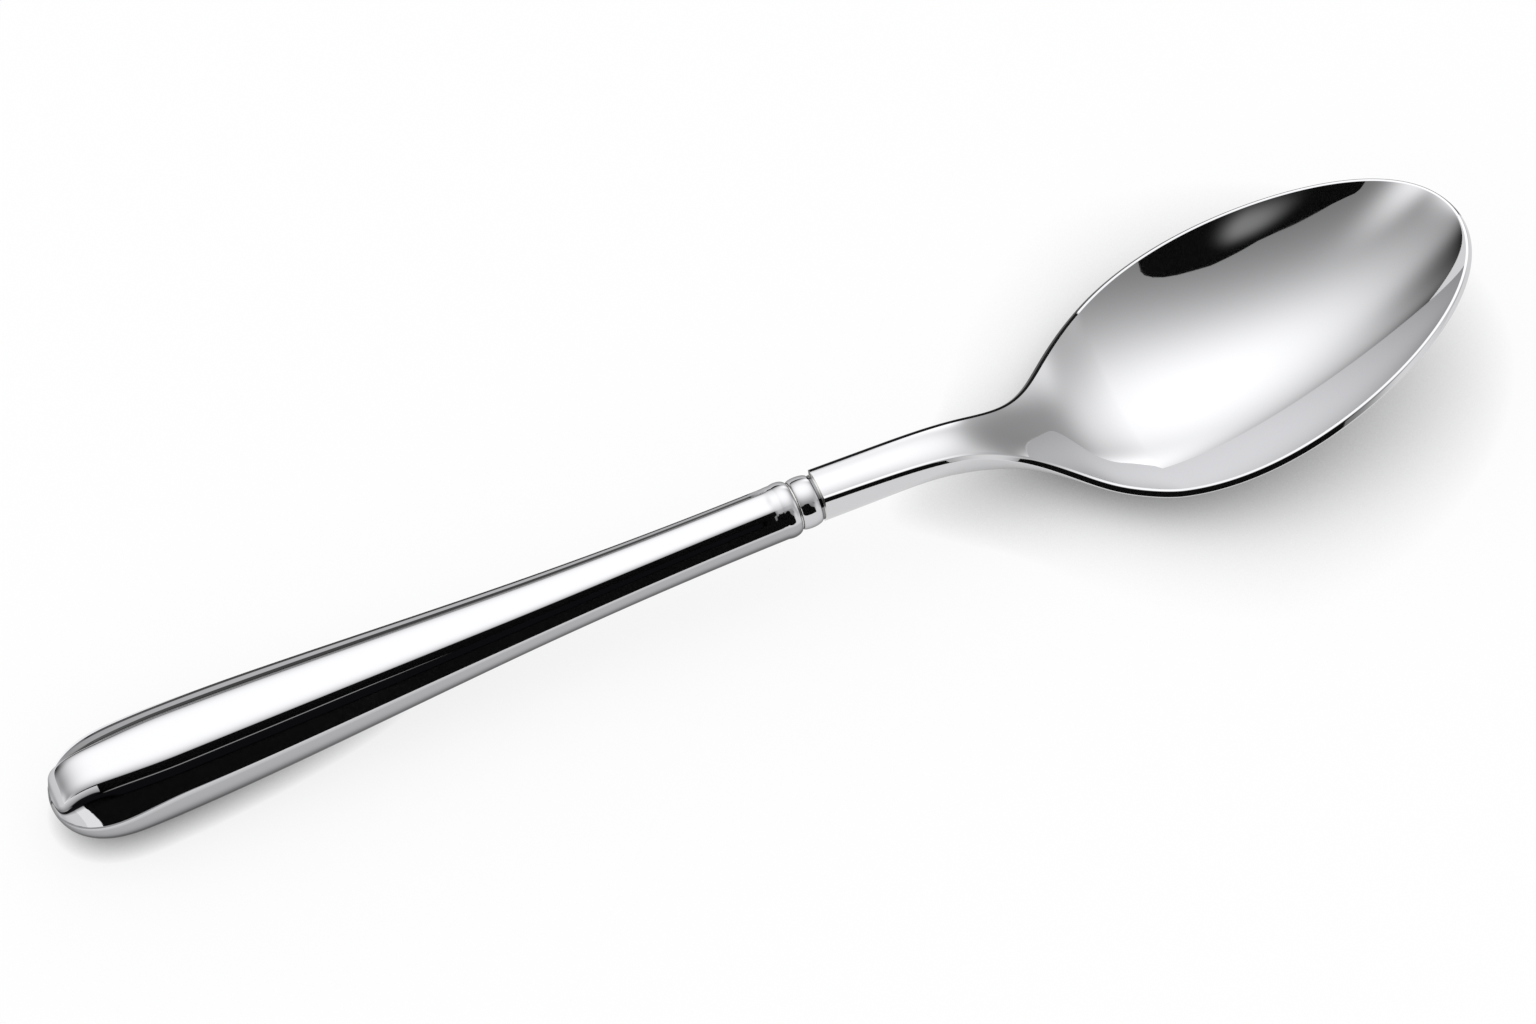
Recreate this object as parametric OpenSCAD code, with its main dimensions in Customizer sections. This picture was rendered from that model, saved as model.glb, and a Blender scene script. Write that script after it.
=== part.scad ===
// Soup spoon with a hollow, panelled handle.
// X runs along the spoon with the bowl's tip at +X, Y across it and Z up.
// The spoon lies on the plane Z = 0, on the bowl's underside and the handle's butt.
// Stations are distances in millimetres from the butt.

/* [Handle] */
// Width of the handle at its widest, near the butt
handle_w = 15.4; // [13:0.1:18]
// Station of the widest section
widest_at = 12; // [11:0.5:14]
// Height of the butt as a share of its width
butt_ratio = 0.85; // [0.75:0.01:0.95]
// Diameter of the handle just before the collar
waist_d = 7.7; // [7.4:0.1:9]
// Length of the hollow handle along its own axis
handle_l = 105.9; // [98:0.5:112]
// Height of the handle's axis at the butt
axis_z = 6.01; // [5.95:0.01:6.2]
// Slope of the handle's axis in degrees
rise = 2.9; // [2.8:0.05:3.1]
// Wall of the pressed shells
shell_t = 0.7; // [0.5:0.05:0.9]

/* [Panel on the handle] */
// Half width of the raised top panel as a share of the half width
panel_share = 0.44; // [0.4:0.005:0.46]
// Width of the wall beside the panel as a share of the half width
wall_share = 0.12; // [0.08:0.005:0.14]
// Height of the panel's edges as a share of the half height
panel_height = 0.87; // [0.83:0.01:0.9]
// Crown of the panel above its edges as a share of the half height
panel_crown = 0.07; // [0.04:0.005:0.1]
// Height of the foot of that wall as a share of the half height
foot_share = 0.7; // [0.62:0.005:0.72]
// Angle of the side edge round the section, in degrees
edge_angle = 21; // [18:0.5:22]
// The same angle at the collar
collar_edge_angle = 23.5; // [22:0.5:26]
// The same angle at the butt
butt_edge_angle = 10; // [6:0.5:16]
// Ledge between the two shells at the butt
ledge = 0.3; // [0:0.05:0.4]

/* [Collar] */
// Diameter of the bead that ends the handle
bead_d = 7.9; // [7.75:0.05:9.5]
// Diameter of the collar ring
ring_d = 7.4; // [7.2:0.05:8.5]
// Diameter at the grooves beside the ring
groove_d = 6.6; // [6.4:0.05:7.1]
// Length of the collar ring
ring_l = 3.2; // [2.8:0.1:4]
// Thickness of each solder washer
solder_t = 0.2; // [0.1:0.05:0.3]
// Diameter of the tang
tang_d = 3.8; // [3:0.1:4.2]
// Length of the tang inside the handle
tang_l = 26; // [15:1:40]

/* [Bowl] */
// Length of the spoon from the butt to the crest of the rim at the tip
spoon_l = 205; // [204:0.1:206]
// Length of the bowl along its egg outline
bowl_l = 61.1; // [60:0.1:62]
// Width of the bowl between the crests of its rim
bowl_w = 38.6; // [38:0.1:39.5]
// Depth of the bowl's inside below its rim
bowl_depth = 9.2; // [9:0.05:9.4]
// Height of the rim half way along the bowl
rim_z = 12; // [11.9:0.05:12.1]
// Rise of the rim from the middle to the tip
rim_rise = 10.1; // [9.5:0.1:10.5]
// Thickness of the bowl at its centre line
bowl_t = 1.25; // [1.15:0.05:1.4]
// Flat lip on the rim inside its crest
lip = 0.35; // [0.2:0.05:0.5]
// Bevel outside the crest of the rim, measured across
bevel_w = 0.55; // [0.4:0.05:0.7]
// Bevel outside the crest of the rim, measured down
bevel_h = 0.8; // [0.7:0.05:1]
// The same bevel at the collar, across and down
neck_bevel = [0.42, 0.6];

/* [Hidden] */
steel = [0.80, 0.81, 0.82];
solder = [0.72, 0.73, 0.70];
cement = [0.78, 0.74, 0.66];
overall_l = spoon_l + bevel_w;
ring_start = handle_l + solder_t;
ring_end = ring_start + ring_l;
neck_start = ring_end + solder_t;
neck_station = neck_start * cos(rise);
neck_axis_z = axis_z + neck_start * sin(rise);

// The head's section is a rounded box up to box_until and fully a dish from dish_from
box_until = 128;
dish_from = 152;
// The egg formulas of the bowl start here
bowl_from = 156;

// Stations of the neck and heel: station, half width at the edge, height of the edge,
// depth of the dish below the edge (negative where the face is crowned), underside
neck_rows = [
    [neck_station, 2.50, 14.65, -0.45, 7.85],
    [118.0, 2.60, 14.40, -0.45, 8.20],
    [126.0, 2.80, 13.80, -0.40, 8.35],
    [131.0, 3.10, 12.65, -0.35, 7.30],
    [136.0, 3.90, 10.40,  0.10, 5.50],
    [140.0, 5.25,  8.40,  0.60, 3.85],
    [144.0, 7.75,  6.75,  1.35, 2.30],
    [148.0, 11.10, 5.95,  2.65, 1.05],
    [152.0, 14.05, 6.10,  4.10, 0.30]
];

function smooth(x, lo, hi) = let(t = min(1, max(0, (x - lo) / (hi - lo)))) t * t * (3 - 2 * t);
function mix(a, b, t) = a + (b - a) * t;

// Curve through hand-set rows
function row_slope(rows, i, c) =
    let(lo = max(0, i - 1), hi = min(len(rows) - 1, i + 1))
    (rows[hi][c] - rows[lo][c]) / (rows[hi][0] - rows[lo][0]);
function row_index(rows, x, i = 0) =
    i >= len(rows) - 2 || x < rows[i + 1][0] ? i : row_index(rows, x, i + 1);
function row_value(rows, x, c) =
    let(i = row_index(rows, x),
        d = rows[i + 1][0] - rows[i][0],
        t = (x - rows[i][0]) / d,
        t2 = t * t,
        t3 = t2 * t)
    rows[i][c] * (2 * t3 - 3 * t2 + 1)
    + rows[i + 1][c] * (3 * t2 - 2 * t3)
    + d * row_slope(rows, i, c) * (t3 - 2 * t2 + t)
    + d * row_slope(rows, i + 1, c) * (t3 - t2);

// Bowl, with u from -1 at the heel of the egg outline to 1 at its tip. The lists hold the
// factors of u, of its square and of its cube.
outline_bend = [-0.106, 0.022, 0.048];
rim_bend = [0.946, 0.093, -0.039];
dish_power = 0.9;
dish_lean = 0.2;
thin_from = 0.6;
function cubic(c, u) = c[0] * u + c[1] * u * u + c[2] * pow(u, 3);
bowl_mid = spoon_l - bowl_l / 2;
function egg_u(s) = min(1, (s - bowl_mid) / (bowl_l / 2));
function egg_half(u) = bowl_w / 2 * sqrt(1 - u * u) * (1 + cubic(outline_bend, u));
function egg_edge(u) = rim_z + rim_rise * cubic(rim_bend, u);
function egg_depth(u) = bowl_depth * pow(1 - u * u, dish_power) * (1 + dish_lean * u);
function egg_under(u) = egg_edge(u) - egg_depth(u) - mix(bowl_t, bevel_h, smooth(u, thin_from, 1));
function bowl_row(s) = let(u = egg_u(s)) [s, egg_half(u), egg_edge(u), egg_depth(u), egg_under(u)];
head_rows = concat(neck_rows, [bowl_row(bowl_from), bowl_row(bowl_from + 4)]);
function head_row(s) =
    s >= bowl_from ? bowl_row(s) : [for (c = [0:4]) c == 0 ? s : row_value(head_rows, s, c)];

// Stations of the head, closer together towards the tip
neck_steps = 26;
bowl_steps = 34;
bowl_angle = acos(egg_u(bowl_from));
head_stations = concat(
    [for (i = [0:neck_steps - 1]) mix(neck_station, bowl_from, i / neck_steps)],
    [for (i = [0:bowl_steps - 1]) bowl_mid + bowl_l / 2 * cos(bowl_angle * (1 - i / bowl_steps))]);

// The arc of a dish, 1 at the centre line and 0 at the edge
arc_r = 2.5;
arc_base = sqrt(arc_r * arc_r - 1);
function dish(v) = (sqrt(arc_r * arc_r - v * v) - arc_base) / (arc_r - arc_base);
// The underside, a rounded box at the neck that opens into the bowl's arc
box_power = 3.5;
function underside(v, open) =
    mix(pow(max(0, 1 - pow(abs(v), box_power)), 1 / box_power), dish(v), open);

top_cells = 18;
under_cells = 18;
function across(i, cells) = sin(90 * (2 * i / cells - 1));

// The bevel's outline from the rim's crest down, as shares of its width and height
bevel_line = [[0, 0], [0.2, 0.15], [0.9, 0.85], [1, 1]];
bevel_n = len(bevel_line);
// How far the top face starts below the crest, and the lip's largest share of the half width
crest_drop = 0.05;
lip_share = 0.3;
// The neck leans with the handle over this length
lean_l = 12;

// One closed section of the head: top face, far edge, underside, near edge
function head_ring(k) =
    let(s = head_stations[k],
        r = head_row(s),
        before = head_row(head_stations[max(0, k - 1)]),
        after = head_row(k == len(head_stations) - 1 ? spoon_l : head_stations[k + 1]),
        tx = after[0] - before[0],
        ty = after[1] - before[1],
        size = sqrt(tx * tx + ty * ty),
        nx = -ty / size,
        ny = tx / size,
        open = smooth(s, box_until, dish_from),
        e = mix(neck_bevel[0], bevel_w, open),
        h = mix(neck_bevel[1], bevel_h, open),
        inner = r[1] - min(lip, r[1] * lip_share),
        tilt = tan(rise) * (1 - smooth(s, neck_station, neck_station + lean_l)),
        outer = r[1] + e * ny,
        start_z = r[2] - h,
        lean = function(x, y, z) [x - (z - neck_axis_z) * tilt - overall_l / 2, y, z])
    concat(
        [for (i = [0:top_cells]) let(v = across(i, top_cells))
            lean(s, inner * v, r[2] - crest_drop - r[3] * dish(v))],
        [for (p = bevel_line) lean(s + e * p[0] * nx, r[1] + e * p[0] * ny, r[2] - h * p[1])],
        [for (i = [1:under_cells - 1]) let(v = -across(i, under_cells))
            lean(s + e * nx * (nx > 0 ? 1 : v * v), outer * v,
                 start_z - (start_z - r[4]) * underside(v, open))],
        [for (j = [bevel_n - 1:-1:0]) let(p = bevel_line[j])
            lean(s + e * p[0] * nx, -r[1] - e * p[0] * ny, r[2] - h * p[1])]);

ring_n = top_cells + under_cells + 2 * bevel_n;
head_n = len(head_stations);
tip_at = head_n * ring_n;
tip_points = [for (p = bevel_line)
    [spoon_l + bevel_w * p[0] - overall_l / 2, 0, egg_edge(1) - bevel_h * p[1]]];
// Which tip point a place in the ring runs to
function tip_of(i) =
    i <= top_cells ? 0
    : i <= top_cells + bevel_n ? i - top_cells - 1
    : i >= ring_n - bevel_n ? ring_n - 1 - i
    : bevel_n - 1;
// A four-cornered face as two triangles, its corners given clockwise from outside
function split(a, b, c, d) = [[a, b, c], [a, c, d]];
head_sides = [for (k = [0:head_n - 2]) for (i = [0:ring_n - 1])
    let(j = (i + 1) % ring_n)
    each split(k * ring_n + i, k * ring_n + j, (k + 1) * ring_n + j, (k + 1) * ring_n + i)];
head_tip = [for (i = [0:ring_n - 1])
    let(j = (i + 1) % ring_n, a = (head_n - 1) * ring_n + i, b = (head_n - 1) * ring_n + j,
        ta = tip_at + tip_of(i), tb = tip_at + tip_of(j))
    each (ta == tb ? [[a, b, ta]] : split(a, b, tb, ta))];

module head_loft() {
    polyhedron(
        points = concat([for (k = [0:head_n - 1]) each head_ring(k)], tip_points),
        faces = concat([[for (i = [ring_n - 1:-1:0]) i]], head_sides, head_tip),
        convexity = 6);
}

// Places a child that is modelled along the handle's own axis
module on_axis() {
    translate([-overall_l / 2, 0, axis_z]) rotate([0, -rise, 0]) children();
}

// A turned piece whose outline is given as [station, radius]
module turned(outline, sides = 64) {
    on_axis() rotate([0, 90, 0])
        rotate_extrude($fn = sides) polygon([for (p = outline) [p[1], p[0]]]);
}

// The bowl, neck and tang are one forging
tang_root = 0.5;
module spoon_head() {
    color(steel) {
        intersection() {
            head_loft();
            translate([0, -bowl_w, 0]) cube([overall_l, bowl_w * 2, spoon_l / 4]);
        }
        turned([[handle_l - tang_l, 0], [neck_start + tang_root, 0],
                [neck_start + tang_root, tang_d / 2], [handle_l - tang_l, tang_d / 2]], 48);
    }
}

// Bead ring that slides over the tang, with a groove on each side
bead_cells = 10;
tang_gap = 0.05;
module collar_ring() {
    groove_r = groove_d / 2;
    arch = (ring_d - groove_d) / 2;
    bore_r = tang_d / 2 + tang_gap;
    land = 0.35;
    land_drop = 0.15;
    bead_l = ring_l - land;
    color(steel) turned(concat(
        [[ring_start, bore_r]],
        [for (i = [0:bead_cells]) let(a = 180 * i / bead_cells)
            [ring_start + bead_l / 2 * (1 - cos(a)), groove_r - land_drop * i / bead_cells + arch * sin(a)]],
        [[ring_end, groove_r - land_drop], [ring_end, bore_r]]));
}

// Solder films on both faces of the ring
module collar_solder() {
    inner_r = tang_d / 2 + tang_gap;
    outer_r = groove_d / 2 - 0.1;
    color(solder) for (from = [handle_l, ring_end])
        turned([[from, inner_r], [from, outer_r], [from + solder_t, outer_r], [from + solder_t, inner_r]]);
}

// Handle, with u the station along its own axis
bead_half = 1.4;
bead_at = handle_l - bead_half;
panel_end = bead_at - 1.9;
taper_end = bead_at - 1.5;
taper_power = 0.83;
function body_half(u) =
    let(t = min(1, max(0, (u - widest_at) / (taper_end - widest_at))))
    mix(waist_d / 2, handle_w / 2, (1 + cos(180 * pow(t, taper_power))) / 2);
// How a rounded end grows from 0 at its start to 1 at its length
end_power = 2.8;
function round_end(u, l) = u >= l ? 1 : sqrt(1 - pow(1 - max(0, u) / l, end_power));
function bead_r(u) =
    groove_d / 2 + (bead_d - groove_d) / 2 * sqrt(max(0, 1 - pow((u - bead_at) / bead_half, 2)));
function half_w(u) =
    u > bead_at ? bead_r(u)
    : max(u > bead_at - bead_half ? bead_r(u) : 0, body_half(u) * round_end(u, widest_at));
// The section is an oval up to oval_until and becomes round at the collar
oval_until = 62;
function ratio(u) = mix(butt_ratio, 1, smooth(u, oval_until, panel_end + 0.4));
function half_h(u) = half_w(u) * ratio(u);
edge_turn_l = 18;
function side_angle(u) =
    mix(butt_edge_angle, mix(edge_angle, collar_edge_angle, u / handle_l), smooth(u, 0, edge_turn_l));
function facet_fade(u) = 1 - smooth(u, panel_end - 0.6, panel_end + 0.5);

// Points of the upper shell's section from the +Y edge over the top to the -Y edge
facet_cells = 3;
// Places across half the panel, from its edge to its middle, and how flat its crown is
panel_places = [1, 0.87, 0.7, 0.45, 0];
crown_power = 4;
// Lengths over which the panel's width and the top's height round off at the butt
panel_round_l = 4.4;
top_round_l = 8;
// The ledge is full up to the first of these stations and gone at the second
ledge_ends = [4, 30];
function upper_half_section(u) =
    let(a = half_w(u),
        b = half_h(u),
        te = side_angle(u),
        e = [a * cos(te), b * sin(te)],
        inset = ledge * (1 - smooth(u, ledge_ends[0], ledge_ends[1])) * min(1, a / 3),
        start = e * (1 - inset / a),
        cut = facet_fade(u),
        panel_y = panel_share * body_half(u) * round_end(u, panel_round_l),
        top_b = u < widest_at ? body_half(u) * ratio(u) * round_end(u, top_round_l) : b,
        crown = panel_crown * top_b,
        panel_top = panel_height * top_b,
        foot_y = panel_y + wall_share * a,
        foot = [foot_y, foot_share * b],
        on_oval = function(y) [y, b * sqrt(max(0, 1 - y * y / (a * a)))])
    concat(
        [for (i = [0:facet_cells]) let(p = mix(start, foot, i / facet_cells))
            mix(i == 0 ? start : on_oval(p[0]), p, cut)],
        [for (place = panel_places) let(y = panel_y * place)
            mix(on_oval(y), [y, panel_top + crown * (1 - pow(place, crown_power))], cut)]);
function upper_section(u) =
    let(h = upper_half_section(u), n = len(h))
    concat(h, [for (i = [n - 2:-1:0]) [-h[i][0], h[i][1]]]);

// Points of the lower shell's section from the -Y edge under the axis to the +Y edge
lower_cells = 20;
function lower_section(u) =
    let(a = half_w(u), b = half_h(u), te = side_angle(u))
    [for (i = [0:lower_cells])
        let(t = 180 - te + (180 + 2 * te) * i / lower_cells) [a * cos(t), b * sin(t)]];

// Stations of the shells, close together at the butt, the panel's end and the bead
shell_stations = concat(
    [0.12, 0.4, 0.8, 1.4, 2.2, 3.2, 4.4, 6, 8, 10],
    [for (u = [widest_at:5:panel_end - 2]) u],
    [for (d = [0.8, 0.4, 0, -0.3]) panel_end - d],
    [for (a = [-70, -50, -25, 0, 25, 45, 65, 80]) bead_at + bead_half * sin(a)],
    [handle_l]);

function inner_scale(u) = 1 - shell_t / body_half(u);
function inner_shift(u) = shell_t * max(0, 1 - u / widest_at);
function at_station(u, p) = [u, p[0], p[1]];
function inner_point(u, p) = [u + inner_shift(u), p[0] * inner_scale(u), p[1] * inner_scale(u)];

// A pressed half: an outer and an inner skin joined along the seam and at the mouth
module pressed_half(sections) {
    n = len(sections[0]);
    m = len(sections);
    skin = n * m;
    tip = 2 * skin;
    points = concat(
        [for (k = [0:m - 1]) for (p = sections[k]) at_station(shell_stations[k], p)],
        [for (k = [0:m - 1]) for (p = sections[k]) inner_point(shell_stations[k], p)],
        [[0, 0, 0], [shell_t, 0, 0]]);
    skins = [for (k = [0:m - 2]) for (i = [0:n - 2])
        let(a = k * n + i, b = a + n)
        each concat(split(a, b, b + 1, a + 1), split(skin + a, skin + a + 1, skin + b + 1, skin + b))];
    seams = [for (k = [0:m - 2])
        let(a = k * n, b = a + n, c = a + n - 1, d = c + n)
        each concat(split(a, skin + a, skin + b, b), split(c, d, skin + d, skin + c))];
    mouth = [for (i = [0:n - 2]) let(a = (m - 1) * n + i) each split(a, skin + a, skin + a + 1, a + 1)];
    butt = [for (i = [0:n - 2]) each [[tip, i, i + 1], [tip + 1, skin + i + 1, skin + i]]];
    butt_seams = concat(split(tip, tip + 1, skin, 0), split(tip, n - 1, skin + n - 1, tip + 1));
    on_axis() polyhedron(points = points,
        faces = concat(skins, seams, mouth, butt, butt_seams), convexity = 8);
}

// Panelled top half with its two shoulder facets
module handle_upper_shell() {
    color(steel) pressed_half([for (u = shell_stations) upper_section(u)]);
}

// Rounded bottom half
module handle_lower_shell() {
    color(steel) pressed_half([for (u = shell_stations) lower_section(u)]);
}

// Solder fillet inside the seam, along both sides
seam_from = 3;
seam_to = 30;
module seam_side(side) {
    stations = [for (k = [seam_from:seam_to]) shell_stations[k]];
    n = len(stations);
    points = [for (u = stations)
        let(up = upper_section(u), low = lower_section(u),
            edge = low[lower_cells], above = up[1], below = low[lower_cells - 1])
        each [for (p = [edge, mix(edge, above, 0.5), mix(edge, below, 0.5)])
            inner_point(u, [p[0] * side, p[1]])]];
    sides = [for (k = [0:n - 2]) for (i = [0:2]) let(j = (i + 1) % 3)
        each split(3 * k + i, 3 * k + 3 + i, 3 * k + 3 + j, 3 * k + j)];
    ends = [[0, 1, 2], [3 * n - 1, 3 * n - 2, 3 * n - 3]];
    faces = concat(sides, ends);
    on_axis() polyhedron(points = points,
        faces = side > 0 ? faces : [for (f = faces) [f[2], f[1], f[0]]], convexity = 4);
}
module seam_solder() {
    color(solder) {
        seam_side(1);
        seam_side(-1);
    }
}

// Cement that beds the tang in the handle's mouth
module tang_cement() {
    tang_r = tang_d / 2;
    mouth_r = groove_d / 2 - shell_t - 0.05;
    tang_tip = handle_l - tang_l;
    start = tang_tip - 2;
    color(cement) turned([
        [start, 0], [start, tang_r + 0.3], [handle_l - 5, tang_r + 0.5],
        [handle_l - 2.5, mouth_r], [handle_l, mouth_r],
        [handle_l, tang_r], [tang_tip, tang_r], [tang_tip, 0]]);
}

spoon_head();
collar_ring();
collar_solder();
handle_upper_shell();
handle_lower_shell();
seam_solder();
tang_cement();
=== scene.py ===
import math

import bmesh
import bpy
import numpy as np
from mathutils import Matrix, Vector


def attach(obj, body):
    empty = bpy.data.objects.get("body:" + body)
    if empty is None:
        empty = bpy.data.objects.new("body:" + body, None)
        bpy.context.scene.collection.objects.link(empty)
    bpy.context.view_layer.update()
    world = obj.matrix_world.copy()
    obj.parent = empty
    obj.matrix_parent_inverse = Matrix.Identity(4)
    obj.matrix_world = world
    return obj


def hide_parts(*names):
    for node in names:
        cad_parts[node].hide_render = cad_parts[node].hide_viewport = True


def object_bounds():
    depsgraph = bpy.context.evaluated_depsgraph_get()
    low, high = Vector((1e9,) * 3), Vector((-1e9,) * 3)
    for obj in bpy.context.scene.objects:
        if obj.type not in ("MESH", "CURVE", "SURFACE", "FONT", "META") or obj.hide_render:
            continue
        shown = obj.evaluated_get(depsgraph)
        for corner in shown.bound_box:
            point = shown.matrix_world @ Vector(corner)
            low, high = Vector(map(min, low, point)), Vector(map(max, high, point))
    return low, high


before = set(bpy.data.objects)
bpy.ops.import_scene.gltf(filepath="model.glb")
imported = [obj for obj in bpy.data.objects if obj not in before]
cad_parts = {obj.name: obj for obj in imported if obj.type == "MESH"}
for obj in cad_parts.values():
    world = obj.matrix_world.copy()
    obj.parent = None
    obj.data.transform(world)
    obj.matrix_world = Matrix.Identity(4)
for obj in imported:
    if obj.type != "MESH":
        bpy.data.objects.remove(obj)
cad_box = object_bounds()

bl_info = {
    "name": "Soup spoon",
    "version": (1, 0, 0),
    "blender": (4, 5, 0),
    "location": "3D View > Sidebar > Spoon",
    "description": "Builds a polished soup spoon with a hollow panelled handle, and its studio",
    "category": "Add Mesh",
}

MM = 0.001
# Vertices closer than this become one
MERGE = 0.0004 * MM


# Settings

class BowlSettings(bpy.types.PropertyGroup):
    """Sizes of the bowl and neck."""

    spoon_l: bpy.props.FloatProperty(
        name="Spoon length", description="From the butt to the crest of the rim at the tip",
        default=0.205, unit="LENGTH")
    bowl_l: bpy.props.FloatProperty(
        name="Bowl length", description="Length of the bowl along its egg outline",
        default=0.0611, unit="LENGTH")
    bowl_w: bpy.props.FloatProperty(
        name="Bowl width", description="Width between the crests of the rim",
        default=0.0386, unit="LENGTH")
    bowl_depth: bpy.props.FloatProperty(
        name="Bowl depth", description="Depth of the inside below the rim",
        default=0.0092, unit="LENGTH")
    rim_z: bpy.props.FloatProperty(
        name="Rim height", description="Height of the rim half way along the bowl",
        default=0.012, unit="LENGTH")
    rim_rise: bpy.props.FloatProperty(
        name="Rim rise", description="Rise of the rim from the middle to the tip",
        default=0.0101, unit="LENGTH")
    bowl_t: bpy.props.FloatProperty(
        name="Bowl thickness", description="Thickness at the centre line",
        default=0.00125, unit="LENGTH")
    lip: bpy.props.FloatProperty(
        name="Lip", description="Flat lip inside the crest of the rim",
        default=0.00035, unit="LENGTH")
    bevel_w: bpy.props.FloatProperty(
        name="Bevel width", description="Bevel outside the crest of the rim, measured across",
        default=0.00055, unit="LENGTH")
    bevel_h: bpy.props.FloatProperty(
        name="Bevel height", description="Bevel outside the crest of the rim, measured down",
        default=0.0008, unit="LENGTH")
    tang_d: bpy.props.FloatProperty(
        name="Tang diameter", description="Diameter of the tang inside the handle",
        default=0.0038, unit="LENGTH")
    tang_l: bpy.props.FloatProperty(
        name="Tang length", description="Length of the tang inside the handle",
        default=0.026, unit="LENGTH")


class HandleSettings(bpy.types.PropertyGroup):
    """Sizes of the hollow handle."""

    handle_w: bpy.props.FloatProperty(
        name="Handle width", description="Width at the widest section, near the butt",
        default=0.0154, unit="LENGTH")
    widest_at: bpy.props.FloatProperty(
        name="Widest at", description="Distance of the widest section from the butt",
        default=0.012, unit="LENGTH")
    butt_ratio: bpy.props.FloatProperty(
        name="Butt ratio", description="Height of the butt as a share of its width",
        default=0.85, subtype="FACTOR")
    waist_d: bpy.props.FloatProperty(
        name="Waist", description="Diameter just before the collar",
        default=0.0077, unit="LENGTH")
    handle_l: bpy.props.FloatProperty(
        name="Handle length", description="Length of the hollow handle along its own axis",
        default=0.1059, unit="LENGTH")
    axis_z: bpy.props.FloatProperty(
        name="Axis height", description="Height of the handle's axis at the butt",
        default=0.00601, unit="LENGTH")
    rise: bpy.props.FloatProperty(
        name="Rise", description="Slope of the handle's axis",
        default=math.radians(2.9), subtype="ANGLE")
    shell_t: bpy.props.FloatProperty(
        name="Wall", description="Wall of the pressed shells",
        default=0.0007, unit="LENGTH")
    panel_share: bpy.props.FloatProperty(
        name="Panel width",
        description="Half width of the raised panel as a share of the half width",
        default=0.44, subtype="FACTOR")
    wall_share: bpy.props.FloatProperty(
        name="Panel wall",
        description="Width of the wall beside the panel as a share of the half width",
        default=0.12, subtype="FACTOR")
    panel_height: bpy.props.FloatProperty(
        name="Panel height",
        description="Height of the panel's edges as a share of the half height",
        default=0.87, subtype="FACTOR")
    panel_crown: bpy.props.FloatProperty(
        name="Panel crown", description="Crown of the panel as a share of the half height",
        default=0.07, subtype="FACTOR")
    foot_share: bpy.props.FloatProperty(
        name="Wall foot",
        description="Height of the foot of the wall as a share of the half height",
        default=0.7, subtype="FACTOR")
    edge_angle: bpy.props.FloatProperty(
        name="Side edge", description="Angle of the side edge round the section",
        default=math.radians(21), subtype="ANGLE")
    collar_edge_angle: bpy.props.FloatProperty(
        name="Side edge at the collar", description="Angle of the side edge at the collar",
        default=math.radians(23.5), subtype="ANGLE")
    butt_edge_angle: bpy.props.FloatProperty(
        name="Side edge at the butt", description="Angle of the side edge at the butt",
        default=math.radians(10), subtype="ANGLE")
    ledge: bpy.props.FloatProperty(
        name="Ledge", description="Ledge between the two shells at the butt",
        default=0.0003, unit="LENGTH")


class CollarSettings(bpy.types.PropertyGroup):
    """Sizes of the collar between handle and neck."""

    bead_d: bpy.props.FloatProperty(
        name="Bead", description="Diameter of the bead that ends the handle",
        default=0.0079, unit="LENGTH")
    ring_d: bpy.props.FloatProperty(
        name="Ring", description="Diameter of the collar ring",
        default=0.0074, unit="LENGTH")
    groove_d: bpy.props.FloatProperty(
        name="Groove", description="Diameter at the grooves beside the ring",
        default=0.0066, unit="LENGTH")
    ring_l: bpy.props.FloatProperty(
        name="Ring length", description="Length of the collar ring",
        default=0.0032, unit="LENGTH")
    solder_t: bpy.props.FloatProperty(
        name="Solder", description="Thickness of each solder washer",
        default=0.0002, unit="LENGTH")


class SteelSettings(bpy.types.PropertyGroup):
    """Finish of the polished steel."""

    colour: bpy.props.FloatVectorProperty(
        name="Colour", description="Colour of the polished steel",
        default=(0.60, 0.60, 0.615), size=3, subtype="COLOR")
    edge_tint: bpy.props.FloatProperty(
        name="Edge tint", description="Reflectance at grazing angles as a share of the usual one",
        default=0.4, subtype="FACTOR")
    head_colour: bpy.props.FloatVectorProperty(
        name="Head colour", description="Colour of the polished steel of the bowl and neck",
        default=(0.63, 0.63, 0.642), size=3, subtype="COLOR")
    head_edge_tint: bpy.props.FloatProperty(
        name="Head edge tint", description="The edge tint of the bowl and neck",
        default=0.95, subtype="FACTOR")
    gloss_low: bpy.props.FloatProperty(
        name="Finest roughness", description="Roughness where the polish is best",
        default=0.012, subtype="FACTOR")
    gloss_high: bpy.props.FloatProperty(
        name="Coarsest roughness", description="Roughness where the polish is worn",
        default=0.05, subtype="FACTOR")


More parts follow.
